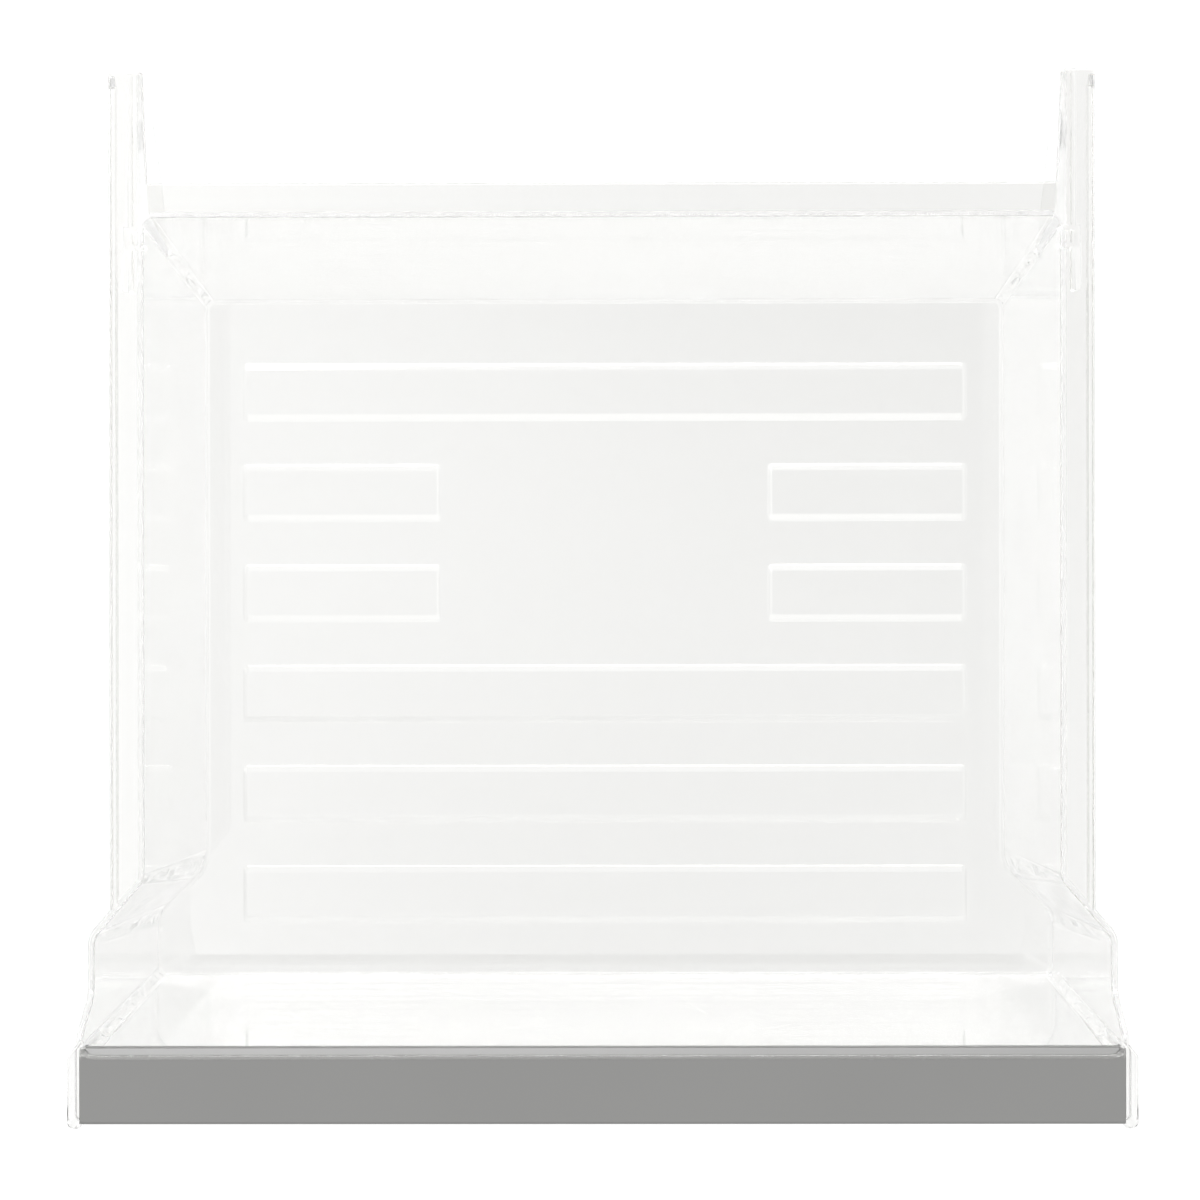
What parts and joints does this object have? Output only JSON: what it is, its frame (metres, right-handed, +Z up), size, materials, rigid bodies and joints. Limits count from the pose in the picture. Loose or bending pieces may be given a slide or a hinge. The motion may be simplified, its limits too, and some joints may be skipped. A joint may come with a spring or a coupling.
{
  "type": "refrigerator storage drawer",
  "caption": "Clear moulded refrigerator drawer with side slide rails, rear ears, a barred floor, a flared front and a grey clip-on trim over its front ledge.",
  "frame": {"origin": "middle of the drawer's footprint, on the surface that its floor rests on", "axes": "+Z up, out of the open top; -Y is the front with the grey trim; +X is the right side seen from the front"},
  "size_m": [0.4, 0.3986, 0.185],
  "materials": {
    "clear_plastic": "polished, water clear",
    "grey_plastic": "satin, fine grain"
  },
  "bodies": {
    "root": {"clear_pan": "clear_plastic", "front_trim": "grey_plastic"}
  },
  "joints": []
}
